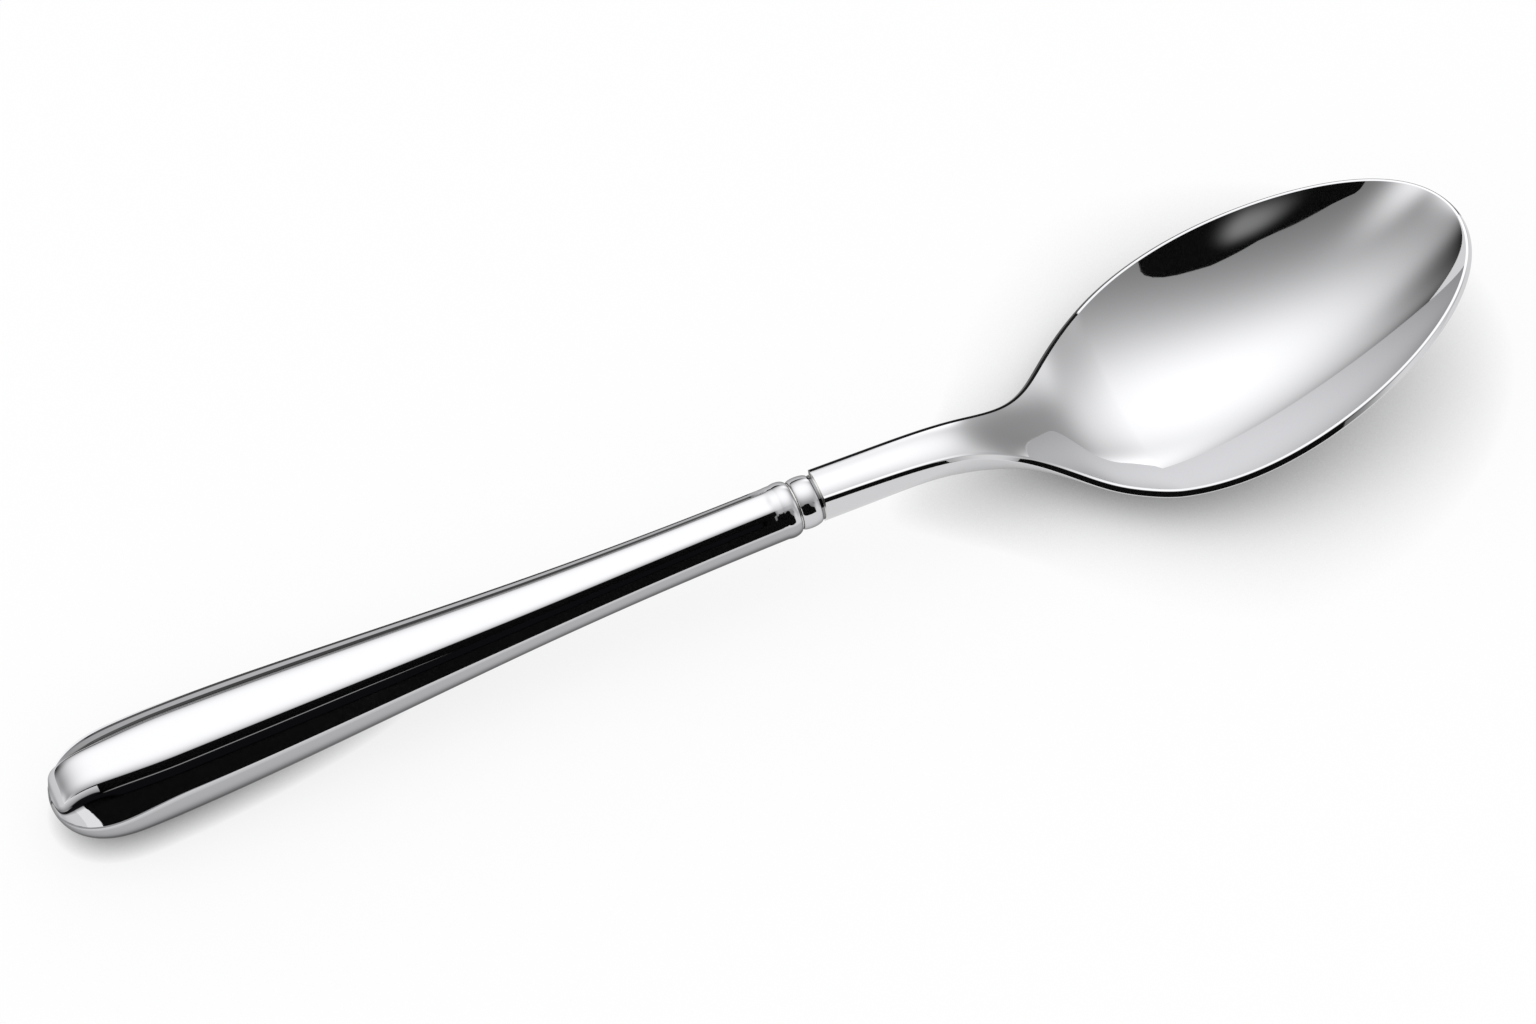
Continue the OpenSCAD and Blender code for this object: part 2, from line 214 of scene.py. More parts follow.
class StudioSettings(bpy.types.PropertyGroup):
    """Camera, floor and light."""

    camera_elevation: bpy.props.FloatProperty(
        name="Elevation", description="Height of the camera above the horizon",
        default=0.98772, subtype="ANGLE")
    camera_azimuth: bpy.props.FloatProperty(
        name="Azimuth", description="Turn of the camera round the spoon",
        default=0.39934, subtype="ANGLE")
    camera_roll: bpy.props.FloatProperty(
        name="Roll", description="Roll of the camera about its view",
        default=-0.018918, subtype="ANGLE")
    camera_distance: bpy.props.FloatProperty(
        name="Distance", description="Distance of the camera from its target",
        default=0.697576, unit="LENGTH")
    camera_focus: bpy.props.FloatProperty(
        name="Focal length", description="Focal length in pixels of a picture 1536 wide",
        default=5116.53)
    target: bpy.props.FloatVectorProperty(
        name="Target", description="Point of the floor in the middle of the view",
        default=(0.0024843, 0.00748518, 0.0), size=3, subtype="XYZ", unit="LENGTH")
    floor_colour: bpy.props.FloatVectorProperty(
        name="Floor", description="Colour of the floor",
        default=(0.985, 0.985, 0.988), size=3, subtype="COLOR")
    floor_lift: bpy.props.FloatProperty(
        name="Floor lift", description="Share of the floor's brightness that is its own glow",
        default=0.78, subtype="FACTOR")


# Shared shapes and curves

def smooth(x, lo, hi):
    """0 below lo and 1 above hi, with a soft step between them."""
    t = np.clip((x - lo) / (hi - lo), 0.0, 1.0)
    return t * t * (3.0 - 2.0 * t)


def mix(a, b, t):
    """a where t is 0 and b where it is 1."""
    return a + (b - a) * t


def sizes(group):
    """The group's values, lengths in millimetres."""
    values = {}
    for name, prop in group.bl_rna.properties.items():
        if prop.type == "FLOAT":
            value = getattr(group, name)
            values[name] = value / MM if prop.unit == "LENGTH" and not prop.is_array else value
    return values


def curve_through(xs, ys):
    """The smooth curve through the points, as a function of x."""
    xs, ys = np.asarray(xs, float), np.asarray(ys, float)
    n, h = len(xs), np.diff(xs)
    rows, pulls = np.eye(n), np.zeros(n)
    for i in range(1, n - 1):
        rows[i, i - 1:i + 2] = h[i - 1], 2 * (h[i - 1] + h[i]), h[i]
        pulls[i] = 6 * ((ys[i + 1] - ys[i]) / h[i] - (ys[i] - ys[i - 1]) / h[i - 1])
    bend = np.linalg.solve(rows, pulls)

    def at(x):
        i = np.clip(np.searchsorted(xs, x, side="right") - 1, 0, n - 2)
        a, b = xs[i + 1] - x, x - xs[i]
        return (bend[i] * a ** 3 + bend[i + 1] * b ** 3) / (6 * h[i]) \
            + (ys[i] / h[i] - bend[i] * h[i] / 6) * a \
            + (ys[i + 1] / h[i] - bend[i + 1] * h[i] / 6) * b
    return at


def rounded(before, corner, after, cut, cells):
    """The corner between two neighbours as a short arc. Each is an array of points, one a row."""
    to_before, to_after = before - corner, after - corner
    len_before = np.linalg.norm(to_before, axis=-1, keepdims=True) + 1e-9
    len_after = np.linalg.norm(to_after, axis=-1, keepdims=True) + 1e-9
    cut = np.minimum(cut, 0.45 * np.minimum(len_before, len_after))
    start, end = corner + to_before / len_before * cut, corner + to_after / len_after * cut
    return [(1 - t) ** 2 * start + 2 * t * (1 - t) * corner + t * t * end
            for t in np.linspace(0, 1, cells + 1)]


def warped_grid(bm, points, dark=None):
    """Adds a grid whose vertices are moved to points, an array of rows, columns and xyz. Dark says
    how much painted shade darkens the steel at each of them, from 0 for none to 1 for black."""
    rows, columns = points.shape[:2]
    layer = bm.verts.layers.float.get("dark") or bm.verts.layers.float.new("dark")
    made = bmesh.ops.create_grid(bm, x_segments=columns - 1, y_segments=rows - 1, size=0.5)["verts"]
    for v in made:
        column = round((v.co.x + 0.5) * (columns - 1))
        row = round((v.co.y + 0.5) * (rows - 1))
        v.co = Vector(points[row, column])
        if dark is not None:
            v[layer] = dark[row, column]


def finished(name, bm, node, material, sharp=math.radians(40)):
    """The mesh as a piece that stands for a CAD node."""
    bmesh.ops.recalc_face_normals(bm, faces=bm.faces)
    mesh = bpy.data.meshes.new(name)
    bm.to_mesh(mesh)
    bm.free()
    mesh.shade_smooth()
    mesh.set_sharp_from_angle(angle=sharp)
    mesh.materials.append(material)
    piece = bpy.data.objects.new(name, mesh)
    bpy.context.scene.collection.objects.link(piece)
    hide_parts(node)
    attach(piece, "root")


def along_handle(points, handle):
    """Points given along the handle's own axis, placed in the spoon."""
    x, y, z = points[..., 0], points[..., 1], points[..., 2]
    c, s = math.cos(handle["rise"]), math.sin(handle["rise"])
    placed = [x * c - z * s - handle["overall_l"] / 2, y, x * s + z * c + handle["axis_z"]]
    return np.stack(placed, axis=-1) * MM


def all_sizes():
    """The sizes of the bowl, the handle and the collar."""
    scene = bpy.context.scene
    groups = scene.spoon_bowl, scene.spoon_handle, scene.spoon_collar
    bowl, handle, collar = (sizes(group) for group in groups)
    handle["overall_l"] = bowl["spoon_l"] + bowl["bevel_w"]
    return bowl, handle, collar


# Bowl and neck

# Stations of the neck and heel: half width at the edge, height of the edge, depth of the dish
# below the edge and height of the underside, in millimetres
NECK_ROWS = [
    [109.4, 2.50, 14.65, -0.45, 7.85],
    [118.0, 2.60, 14.40, -0.45, 8.20],
    [126.0, 2.80, 13.80, -0.40, 8.35],
    [131.0, 3.10, 12.65, -0.35, 7.30],
    [136.0, 3.90, 10.40, 0.10, 5.50],
    [140.0, 5.25, 8.40, 0.60, 3.85],
    [144.0, 7.75, 6.75, 1.35, 2.30],
    [148.0, 11.10, 5.95, 2.65, 1.05],
    [152.0, 14.05, 6.10, 4.10, 0.30],
]
# The egg's formulas hold from this station, and the neck's curves meet them at these steps
BOWL_FROM = 156.0
MEETING_STEPS = (0, 4, 8, 12)
# The section is a rounded box up to the first station and a full dish from the second
BOX_UNTIL, DISH_FROM = 128.0, 152.0
BOX_POWER = 3.5
ARC_R = 2.5
# Change of the egg's half width and of its rim's height from the middle of the bowl to the tip
EGG_CURVE = (-0.106, 0.022, 0.048)
RIM_CURVE = (0.946, 0.093, -0.039)
# Roundness and lean of the dish along the bowl, and where its steel starts to thin
DEPTH_POWER, DEPTH_LEAN, THINS_FROM = 0.9, 0.2, 0.6
NECK_BEVEL = (0.42, 0.6)
# The lip's greatest share of the half width, and how far below the edge the dish starts
LIP_SHARE, LIP_DROP = 0.3, 0.05
# Share of the way to the tip from which the lip spreads right across
FULL_LIP_FROM = 0.5
# The bevel's points as shares across and down, and the cuts at the rim's corners
RIM_PROFILE = ((0, 0), (0.2, 0.15), (0.9, 0.85))
RIM_CUTS = [0.10, 0.10, 0.25, 0.25, 0.16]
RIM_ARC_CELLS = 3
# Length over which the neck's end leans into the handle's axis
LEAN_L = 12
ACROSS_CELLS = 56
# Rows of the neck and of the bowl
HEAD_ROWS, QUICK_HEAD_ROWS = (110, 190), (80, 130)
# Level of a black line in the dark layer
BLACK_LINE = 0.95


def dish(v):
    """The arc of a dish, 1 at the centre line and 0 at the edge."""
    base = math.sqrt(ARC_R ** 2 - 1)
    return (np.sqrt(ARC_R ** 2 - v * v) - base) / (ARC_R - base)


def cubic(c, u):
    return c[0] * u + c[1] * u ** 2 + c[2] * u ** 3


def egg_row(s, bowl):
    """Half width, edge, depth and underside of the bowl at the stations s."""
    u = np.minimum(1.0, (s - (bowl["spoon_l"] - bowl["bowl_l"] / 2)) / (bowl["bowl_l"] / 2))
    round_part = np.maximum(0.0, 1 - u * u)
    half = bowl["bowl_w"] / 2 * np.sqrt(round_part) * (1 + cubic(EGG_CURVE, u))
    edge = bowl["rim_z"] + bowl["rim_rise"] * cubic(RIM_CURVE, u)
    depth = bowl["bowl_depth"] * round_part ** DEPTH_POWER * (1 + DEPTH_LEAN * u)
    under = edge - depth - mix(bowl["bowl_t"], bowl["bevel_h"], smooth(u, THINS_FROM, 1.0))
    return np.stack([half, edge, depth, under], axis=-1)


def head_rows(s, bowl):
    """The same for the whole head, neck included."""
    known = list(NECK_ROWS)
    for step in MEETING_STEPS:
        known.append([BOWL_FROM + step, *egg_row(np.array(BOWL_FROM + step), bowl)])
    known = np.array(known, float)
    neck = np.stack([curve_through(known[:, 0], known[:, c])(s) for c in range(1, 5)], axis=-1)
    return np.where((s >= BOWL_FROM)[:, None], egg_row(s, bowl), neck)


def head_points(bowl, handle, collar):
    """Rings of the head from neck to tip, each from the near edge over the top and back underneath,
    with how dark they are and the first station."""
    neck_rows, bowl_rows = HEAD_ROWS
    neck_start = handle["handle_l"] + collar["ring_l"] + 2 * collar["solder_t"]
    first = neck_start * math.cos(handle["rise"])
    neck_axis_z = handle["axis_z"] + neck_start * math.sin(handle["rise"])
    bowl_half = bowl["bowl_l"] / 2
    middle = bowl["spoon_l"] - bowl_half
    opening = math.acos((BOWL_FROM - middle) / bowl_half)
    s = np.concatenate([
        np.linspace(first, BOWL_FROM, neck_rows, endpoint=False),
        middle + bowl_half * np.cos(opening * (1 - np.linspace(0, 1, bowl_rows + 1)))])
    s[-1] = bowl["spoon_l"]
    half, edge, depth, under = head_rows(s, bowl).T
    # The outline's outward direction, straight ahead at the tip
    along, widening = np.gradient(s), np.gradient(half)
    size = np.hypot(along, widening)
    nx, ny = -widening / size, along / size
    nx[-1], ny[-1] = 1.0, 0.0
    opened = smooth(s, BOX_UNTIL, DISH_FROM)
    bevel_w = mix(NECK_BEVEL[0], bowl["bevel_w"], opened)
    bevel_h = mix(NECK_BEVEL[1], bowl["bevel_h"], opened)
    lip = np.where(nx > 0, bowl["lip"], np.minimum(bowl["lip"], half * LIP_SHARE))
    inner = np.maximum(0.0, half - lip * ny)
    at_tip = smooth((s - middle) / bowl_half, FULL_LIP_FROM, 1.0)
    half[-1] = inner[-1] = 0.0

    def pt(x, y, z):
        """One point for each station."""
        return np.stack([x + 0 * s, y + 0 * s, z + 0 * s], axis=-1)

    across = np.sin(np.pi / 2 * np.linspace(-1, 1, ACROSS_CELLS + 1))
    top = []
    for v in across:
        shift = lip * nx * np.where(nx > 0, mix(v * v, 1.0, at_tip), v * v)
        top.append(pt(s - shift, inner * v, edge - LIP_DROP - depth * dish(v)))
    start_z = edge - bevel_h
    bottom = []
    for v in -across:
        box = max(0.0, 1 - abs(v) ** BOX_POWER) ** (1 / BOX_POWER)
        bottom.append(pt(s + bevel_w * nx * np.where(nx > 0, 1.0, v * v),
                         (half + bevel_w * ny) * v,
                         start_z - (start_z - under) * mix(box, dish(v), opened)))

    def rim(side, inside, outside):
        bevel = [pt(s + bevel_w * a * nx, side * (half + bevel_w * a * ny), edge - bevel_h * b)
                 for a, b in RIM_PROFILE]
        return [inside, *bevel, outside]

    def rounded_line(before, line, after, cuts):
        pts = [before, *line, after]
        out = []
        for i, cut in enumerate(cuts, 1):
            out += rounded(pts[i - 1], pts[i], pts[i + 1], cut, RIM_ARC_CELLS)
        return out

    far, near = rim(1, top[-1], bottom[0]), rim(-1, top[0], bottom[-1])
    ring = top[1:-1] + rounded_line(top[-2], far, bottom[1], RIM_CUTS) + bottom[1:-1] \
        + rounded_line(bottom[-2], near[::-1], top[1], RIM_CUTS[::-1])
    ring.append(ring[0])
    points = np.stack(ring, axis=1)
    tilt = math.tan(handle["rise"]) * (1 - smooth(s, first, first + LEAN_L))
    points[..., 0] -= (points[..., 2] - neck_axis_z) * tilt[:, None] + handle["overall_l"] / 2
    points[..., 2] = np.maximum(points[..., 2], 0.0)
    # Painted dark reflection: a fine dark line outside the far rim's crest, wider along the neck
    corner = RIM_ARC_CELLS + 1
    far_at = len(top) - 2
    crest = far_at + corner + 1
    dark = np.zeros(points.shape[:2])
    dark[:, crest:far_at + corner * len(RIM_CUTS)] = BLACK_LINE
    dark[s < BOWL_FROM, crest - 2:crest] = BLACK_LINE
    return points * MM, dark, neck_start


def add_tang(bm, rim, bowl, handle, neck_start):
    """Draws the neck's end in to the tang and runs the tang out along the handle's axis."""
    tang_start = handle["handle_l"] - bowl["tang_l"]
    middle = sum((v.co for v in rim), Vector()) / len(rim)
    up = Vector((-math.sin(handle["rise"]), 0, math.cos(handle["rise"])))
    edges = list({e for v in rim for e in v.link_edges if e.is_boundary})
    for station, share in ((neck_start, 1), (tang_start, 1), (tang_start, 0)):
        grown = bmesh.ops.extrude_edge_only(bm, edges=edges)["geom"]
        edges = [g for g in grown if isinstance(g, bmesh.types.BMEdge)]
        at = Vector(along_handle(np.array([station, 0, 0.0]), handle))
        for v in (g for g in grown if isinstance(g, bmesh.types.BMVert)):
            side, rise = v.co.y, (v.co - middle).dot(up)
            reach = math.hypot(side, rise) or 1.0
            size = share * bowl["tang_d"] / 2 * MM / reach
            v.co = at + Vector((0, side * size, 0)) + up * rise * size
        middle = at


class SPOON_OT_head(bpy.types.Operator):
    """Lofts the bowl, neck and tang as one forging"""

    bl_idname = "spoon.head"
    bl_label = "Bowl and neck"

    def execute(self, context):
        bowl, handle, collar = all_sizes()
        points, dark, neck_start = head_points(bowl, handle, collar)
        bm = bmesh.new()
        warped_grid(bm, points, dark)
        bmesh.ops.remove_doubles(bm, verts=bm.verts, dist=MERGE)
        rim = list({v for e in bm.edges if e.is_boundary for v in e.verts})
        add_tang(bm, rim, bowl, handle, neck_start)
        bmesh.ops.remove_doubles(bm, verts=bm.verts, dist=MERGE)
        finished("bowl_and_neck", bm, "spoon_head", steel("head"))
        return {"FINISHED"}


# Handle

# Half length of the bead that ends the handle. The panel and the taper stop before its middle.
BEAD_HALF, PANEL_GAP, TAPER_GAP = 1.4, 1.9, 1.5
TAPER_POWER, BUTT_POWER = 0.83, 2.8
# The section turns into a circle from this station until just past the panel
ROUND_FROM, ROUND_PAST_PANEL = 62, 0.4
# The side edge and the panel's width leave the shape of the butt up to here
BUTT_L = 18
# Stretches over which the ledge and the gutter fade out and the panel opens behind the butt
LEDGE_FADES, GUTTER_FADES, PANEL_OPENS = (4, 30), (38, 60), (0.45, 0.95)
# Below these half widths the ledge and the gutter get smaller with the handle
LEDGE_HALF_W, GUTTER_HALF_W = 3, 5
# The panel's start behind the butt, the length of its rounding, its share of the width there
# and the length over which its height rises
PANEL_FROM, PANEL_ROUND_L, PANEL_START_SHARE, CROWN_RISE_L = 0.35, 1.6, 0.8, 8
CROWN_POWER = 4
# The panel fades into the oval of the bead over this stretch, measured from the panel's end
PANEL_CLOSES = (-0.6, 0.5)
# Steps across and up from the gutter's bottom to the foot of the wall, and without a gutter
GUTTER_STEP, PLAIN_STEP = np.array([-0.24, 0.12]), np.array([-0.02, 0.02])
# Columns of the facet: distances from the seam and from the gutter, each with its greatest share
# of the facet, so that no two columns meet, and the shares between them
SEAM_COLUMNS = ((0, 0), (0.7, 0.2), (1.15, 0.28))
FACET_SHARES = np.linspace(0.32, 0.55, 5)
GUTTER_COLUMNS = ((1.2, 0.4), (0.85, 0.3))
# Cuts and cells of the creases, and the panel's share beside its edge
GUTTER_CUT, CREASE_CUT, CREASE_CELLS, BESIDE_EDGE = 0.1, 0.12, 4, 0.93
PANEL_CELLS, BACK_CELLS = 17, 72
# Rows of the butt, the body, the panel's end and the bead, the stretch of the panel's end
# measured from it, and the bead's angles
BUTT_ROWS, BODY_ROWS, END_ROWS, BEAD_ROWS = 64, 110, 24, 30
END_STRETCH, BEAD_ANGLES = (-2, 0.6), (-66, 90)
# Stretches over which the painted dark lines start, the painted shade at the wall's foot grows and
# pales between its three levels, and all fade at the panel's end
SEAM_DARKENS, GUTTER_WIDENS, FOOT_DARKENS, FOOT_PALES = (3, 10), (4, 10), (1.5, 4), (5, 9)
FOOT_LEVELS = (0.6, 0.9, 0.35)
LINES_FADE = (-2.5, -0.5)
# Columns along the near seam without painted shade
NEAR_UNSHADED = 3
# Painted shade on the back: two steps, by share of the way in from the seams
BACK_SHADE, BACK_STEPS = 0.3, ((1.0, 0.01, 0.05), (0.86, 0, 0.2))


def oval(x, a, b):
    """Points of the oval of half width a and half height b at the places x."""
    return np.stack([x, b * np.sqrt(np.clip(1 - (x / np.maximum(a, 1e-6)) ** 2, 0, 1))], axis=-1)


class HandleShape:
    """The handle's section at the stations u along its own axis."""

    def __init__(self, handle, collar):
        self.h, self.c = handle, collar
        self.bead_at = handle["handle_l"] - BEAD_HALF
        self.panel_end = self.bead_at - PANEL_GAP
        self.taper_end = self.bead_at - TAPER_GAP

    def body_half(self, u):
        """Half width of the body, without the rounding of the butt."""
        t = np.clip((u - self.h["widest_at"]) / (self.taper_end - self.h["widest_at"]), 0, 1)
        narrowing = (1 + np.cos(np.pi * t ** TAPER_POWER)) / 2
        return mix(self.h["waist_d"] / 2, self.h["handle_w"] / 2, narrowing)

    @staticmethod
    def round_end(u, length):
        """Rises from 0 to 1 over the length, as a rounded end does."""
        return np.sqrt(1 - np.clip(1 - u / length, 0, 1) ** BUTT_POWER)

    def half_w(self, u):
        groove, bead = self.c["groove_d"] / 2, self.c["bead_d"] / 2
        arc = np.sqrt(np.clip(1 - ((u - self.bead_at) / BEAD_HALF) ** 2, 0, 1))
        bead_r = groove + (bead - groove) * arc
        body = self.body_half(u) * self.round_end(u, self.h["widest_at"])
        near_bead = np.where(u > self.bead_at - BEAD_HALF, bead_r, 0)
        return np.where(u > self.bead_at, bead_r, np.maximum(near_bead, body))

    def ratio(self, u):
        """Height of the section as a share of its width."""
        turned = smooth(u, ROUND_FROM, self.panel_end + ROUND_PAST_PANEL)
        return mix(self.h["butt_ratio"], 1.0, turned)

    def side_angle(self, u):
        turned = mix(self.h["edge_angle"], self.h["collar_edge_angle"], u / self.h["handle_l"])
        return mix(self.h["butt_edge_angle"], turned, smooth(u, 0, BUTT_L))

    def stations(self):
        body = self.h["widest_at"]
        end_from, end_to = (self.panel_end + d for d in END_STRETCH)
        coarser = 1
        return np.concatenate([
            body * np.linspace(0, 1, BUTT_ROWS // coarser, endpoint=False) ** 2,
            np.linspace(body, end_from, BODY_ROWS // coarser, endpoint=False),
            np.linspace(end_from, end_to, END_ROWS, endpoint=False),
            self.bead_at + BEAD_HALF * np.sin(np.radians(np.linspace(*BEAD_ANGLES, BEAD_ROWS)))])

    def upper(self, u):
        """The top half, from one seam over the facet, wall and panel to the other."""
        a = self.half_w(u)
        b = a * self.ratio(u)
        te = self.side_angle(u)
        edge = np.stack([a * np.cos(te), b * np.sin(te)], axis=-1)
        inset = self.h["ledge"] * (1 - smooth(u, *LEDGE_FADES)) * np.minimum(1, a / LEDGE_HALF_W)
        start = edge * (1 - inset / np.maximum(a, 1e-6))[:, None]
        opened = smooth(u, *PANEL_OPENS)
        not_closed = 1 - smooth(u, *(self.panel_end + d for d in PANEL_CLOSES))
        panel_y = self.h["panel_share"] * self.body_half(u) \
            * mix(PANEL_START_SHARE, 1.0, smooth(u, 0, BUTT_L)) \
            * self.round_end(u - PANEL_FROM, PANEL_ROUND_L)
        body_b = self.body_half(u) * self.ratio(u)
        top_b = np.where(u < self.h["widest_at"], body_b * self.round_end(u, CROWN_RISE_L), b)
        crown, panel_top = self.h["panel_crown"] * top_b, self.h["panel_height"] * top_b
        gutter = np.stack([panel_y + self.h["wall_share"] * a, self.h["foot_share"] * b], axis=-1)
        shoulder = np.stack([panel_y, panel_top], axis=-1)

        def on_panel(share):
            return np.stack([panel_y * share, panel_top + crown * (1 - share ** CROWN_POWER)],
                            axis=-1)
        # A narrow gutter runs along the foot of the wall and fades out towards the collar
        size = (np.minimum(1, a / GUTTER_HALF_W) * (1 - smooth(u, *GUTTER_FADES)))[:, None]
        foot = gutter + size * GUTTER_STEP + (1 - size) * PLAIN_STEP
        facet_l = np.linalg.norm(gutter - start, axis=-1, keepdims=True) + 1e-6
        line = [mix(start, gutter, np.minimum(most, d / facet_l)) for d, most in SEAM_COLUMNS]
        line += [mix(start, gutter, t) for t in FACET_SHARES]
        line += [mix(gutter, start, np.minimum(most, d / facet_l)) for d, most in GUTTER_COLUMNS]
        line += rounded(start, gutter, foot, GUTTER_CUT, CREASE_CELLS)
        line += rounded(gutter, foot, shoulder, CREASE_CUT, CREASE_CELLS)
        line += rounded(foot, shoulder, on_panel(BESIDE_EDGE), CREASE_CUT, CREASE_CELLS)
        line += [on_panel(share) for share in np.linspace(1, 0, PANEL_CELLS + 1)[1:]]

        def faded(p):
            """The point, drawn to the plain oval round the butt and at the bead."""
            plain = oval(p[:, 0], a, b)
            return mix(plain, mix(plain, p, opened[:, None]), not_closed[:, None])
        line[1:] = [faded(p) for p in line[1:]]
        mirrored = [p * np.array([-1, 1]) for p in line[-2::-1]]
        return np.stack(line + mirrored, axis=1)

    def upper_dark(self, u, columns):
        """Painted dark reflection along the far seam, and painted shade in the grooves beside the
        panel.
        """
        gutter = len(SEAM_COLUMNS) + len(FACET_SHARES) + len(GUTTER_COLUMNS)
        foot = gutter + CREASE_CELLS + 1
        wall = foot + CREASE_CELLS + 1
        first, full, last = FOOT_LEVELS
        at_foot = mix(mix(first, full, smooth(u, *FOOT_DARKENS)), last, smooth(u, *FOOT_PALES))
        dark = np.zeros((len(u), columns))
        dark[:, :2] = BLACK_LINE * smooth(u, *SEAM_DARKENS)[:, None]
        dark[:, gutter - 1] = smooth(u, *GUTTER_WIDENS)
        dark[:, gutter:foot] = 1.0
        dark[:, foot:wall] = at_foot[:, None]
        dark[:, -wall:] = dark[:, wall - 1::-1]
        dark[:, -NEAR_UNSHADED:] = 0
        return dark * (1 - smooth(u, *(self.panel_end + d for d in LINES_FADE)))[:, None]

    def lower(self, u):
        """The bottom half, from one seam round the back to the other."""
        a = self.half_w(u)
        b, te = a * self.ratio(u), self.side_angle(u)
        line = []
        for share in np.linspace(0, 1, BACK_CELLS + 1):
            t = np.pi - te + (np.pi + 2 * te) * share
            line.append(np.stack([a * np.cos(t), b * np.sin(t)], axis=-1))
        return np.stack(line, axis=1)

    def lower_dark(self, u, columns):
        """Painted shade: the back is darker than the top, and darkest away from the seams."""
        out = np.abs(np.linspace(-1, 1, columns))
        level = sum(BACK_SHADE * smooth(inside - out, lo, hi) for inside, lo, hi in BACK_STEPS)
        return np.tile(level, (len(u), 1))

    def skins(self, section):
        """Outer and inner skin of a pressed half."""
        u = self.stations()
        flat = section(u)
        outer = np.concatenate([u[:, None, None] + 0 * flat[..., :1], flat], axis=-1)
        scale = (1 - self.h["shell_t"] / self.body_half(u))[:, None]
        shift = (self.h["shell_t"] * np.clip(1 - u / self.h["widest_at"], 0, None))[:, None]
        inner = np.stack([outer[..., 0] + shift, outer[..., 1] * scale, outer[..., 2] * scale],
                         axis=-1)
        return outer, inner


def pressed_half(name, node, shape, section, darkness):
    """A pressed half of the handle, with the two skins joined round their edge."""
    outer, inner = shape.skins(section)
    # The rounded back stays inside the box of the CAD
    placed = np.maximum(along_handle(outer, shape.h), np.array(cad_box[0]))
    bm = bmesh.new()
    warped_grid(bm, placed, darkness(shape.stations(), outer.shape[1]))
    warped_grid(bm, along_handle(inner, shape.h))
    bmesh.ops.remove_doubles(bm, verts=bm.verts, dist=MERGE)
    bmesh.ops.bridge_loops(bm, edges=[e for e in bm.edges if e.is_boundary])
    finished(name, bm, node, steel())


class SPOON_OT_handle(bpy.types.Operator):
    """Makes the two pressed halves of the hollow handle"""

    bl_idname = "spoon.handle"
    bl_label = "Handle shells"

    def execute(self, context):
        _, handle, collar = all_sizes()
        shape = HandleShape(handle, collar)
        pressed_half("upper_shell", "handle_upper_shell", shape, shape.upper, shape.upper_dark)
        pressed_half("lower_shell", "handle_lower_shell", shape, shape.lower, shape.lower_dark)
        return {"FINISHED"}


# Collar

# Gap round the tang, and length and drop of the flat land beside the bead
BORE_GAP, LAND_L, LAND_DROP = 0.05, 0.35, 0.15
RING_CELLS, RING_STEPS = 28, 128
# Painted shade in the grooves beside the ring, and the heights from the groove up between which
# it ends
RING_SHADE, RING_SHADE_FROM, RING_SHADE_TO = 0.6, -0.03, 0.12
RING_SHARP = math.radians(50)


class SPOON_OT_collar(bpy.types.Operator):
    """Turns the bead ring between the handle and the neck"""

    bl_idname = "spoon.collar"
    bl_label = "Collar ring"

    def execute(self, context):
        bowl, handle, collar = all_sizes()
        start = handle["handle_l"] + collar["solder_t"]
        end = start + collar["ring_l"]
        groove_r, arch = collar["groove_d"] / 2, (collar["ring_d"] - collar["groove_d"]) / 2
        bore_r = bowl["tang_d"] / 2 + BORE_GAP
        bead_l = collar["ring_l"] - LAND_L
        line = [(start, bore_r)]
        for i in range(RING_CELLS + 1):
            a = math.pi * i / RING_CELLS
            line.append((start + bead_l / 2 * (1 - math.cos(a)),
                         groove_r - LAND_DROP * i / RING_CELLS + arch * math.sin(a)))
        line += [(end, groove_r - LAND_DROP), (end, bore_r)]
        bm = bmesh.new()
        verts = [bm.verts.new(Vector((u, 0, r))) for u, r in line]
        edges = [bm.edges.new(pair) for pair in zip(verts, verts[1:] + verts[:1])]
        bmesh.ops.spin(bm, geom=verts + edges, cent=(0, 0, 0), axis=(1, 0, 0), angle=2 * math.pi,
                       steps=RING_STEPS, use_merge=True)
        layer = bm.verts.layers.float.new("dark")
        for v in bm.verts:
            # Painted shade, darker towards the grooves
            reach = math.hypot(v.co.y, v.co.z) - groove_r
            v[layer] = RING_SHADE * float(smooth(reach, RING_SHADE_TO, RING_SHADE_FROM))
            v.co = Vector(along_handle(np.array(v.co), handle))
        bmesh.ops.remove_doubles(bm, verts=bm.verts, dist=MERGE)
        finished("collar_bead", bm, "collar_ring", steel(), RING_SHARP)
        return {"FINISHED"}


# Materials

# The dark layer paints shade and dark reflections on the steel. The steel darkens with the
# layer up to the first level, is black from the second and no metal from the third.
PAINTED_BLACK = (0.004, 0.004, 0.005)
SHADED_TO, BLACK_FROM, NO_METAL_FROM = 0.6, 0.7, 0.9
# Range of the haze's noise that spreads over all the gloss
HAZE_RANGE = (0.35, 0.75)


